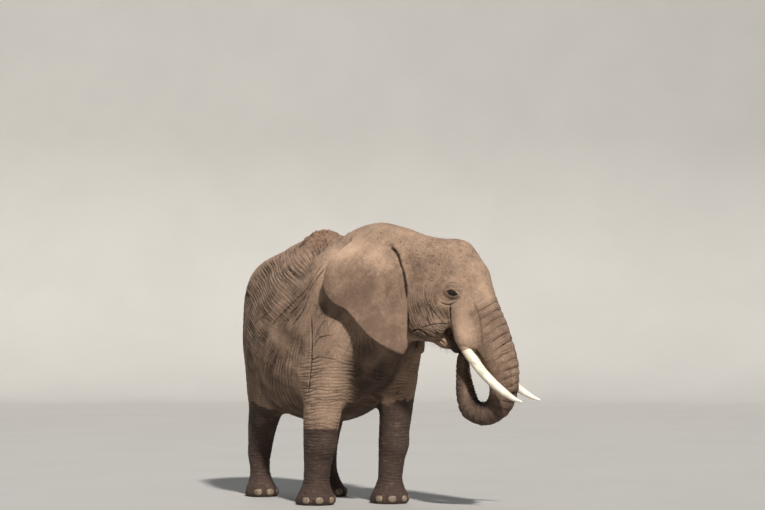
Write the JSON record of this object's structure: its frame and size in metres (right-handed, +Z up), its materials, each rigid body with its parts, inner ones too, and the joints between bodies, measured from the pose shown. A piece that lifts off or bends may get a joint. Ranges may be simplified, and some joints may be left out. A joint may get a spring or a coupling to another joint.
{
  "type": "elephant",
  "caption": "Life-size African savanna elephant cow, standing with the head turned left, ears laid back and the trunk curled up to the mouth.",
  "frame": {"origin": "middle of the animal's box, on the floor under the soles", "axes": "+X the way the body faces, +Y her left, +Z up"},
  "size_m": [3.4154, 1.6056, 2.4739],
  "materials": {
    "skin": "dry, wrinkled, dusty; dark and damp on the lower legs",
    "ivory": "worn ivory with fine cracks and brown stain",
    "eye": "wet, glossy",
    "nail": "worn horn",
    "hair": "coarse black hair"
  },
  "bodies": {
    "root": {"torso": "skin", "neck": "skin", "head": "skin", "lower_jaw": "skin", "trunk_1": "skin", "trunk_2": "skin", "trunk_3": "skin", "trunk_4": "skin", "trunk_5": "skin", "ear_right": "skin", "ear_left": "skin", "eye_right": "eye", "eye_left": "eye", "tusk_right": "ivory", "tusk_left": "ivory", "leg_front_right_upper": "skin", "leg_front_right_lower": "skin", "leg_front_right_foot": "skin", "nail_front_right_1": "nail", "nail_front_right_2": "nail", "nail_front_right_3": "nail", "nail_front_right_4": "nail", "leg_front_left_upper": "skin", "leg_front_left_lower": "skin", "leg_front_left_foot": "skin", "nail_front_left_1": "nail", "nail_front_left_2": "nail", "nail_front_left_3": "nail", "nail_front_left_4": "nail", "leg_hind_right_upper": "skin", "leg_hind_right_lower": "skin", "leg_hind_right_foot": "skin", "nail_hind_right_1": "nail", "nail_hind_right_2": "nail", "nail_hind_right_3": "nail", "leg_hind_left_upper": "skin", "leg_hind_left_lower": "skin", "leg_hind_left_foot": "skin", "nail_hind_left_1": "nail", "nail_hind_left_2": "nail", "nail_hind_left_3": "nail", "tail_upper": "skin", "tail_lower": "skin", "tail_tuft": "hair"}
  },
  "joints": []
}
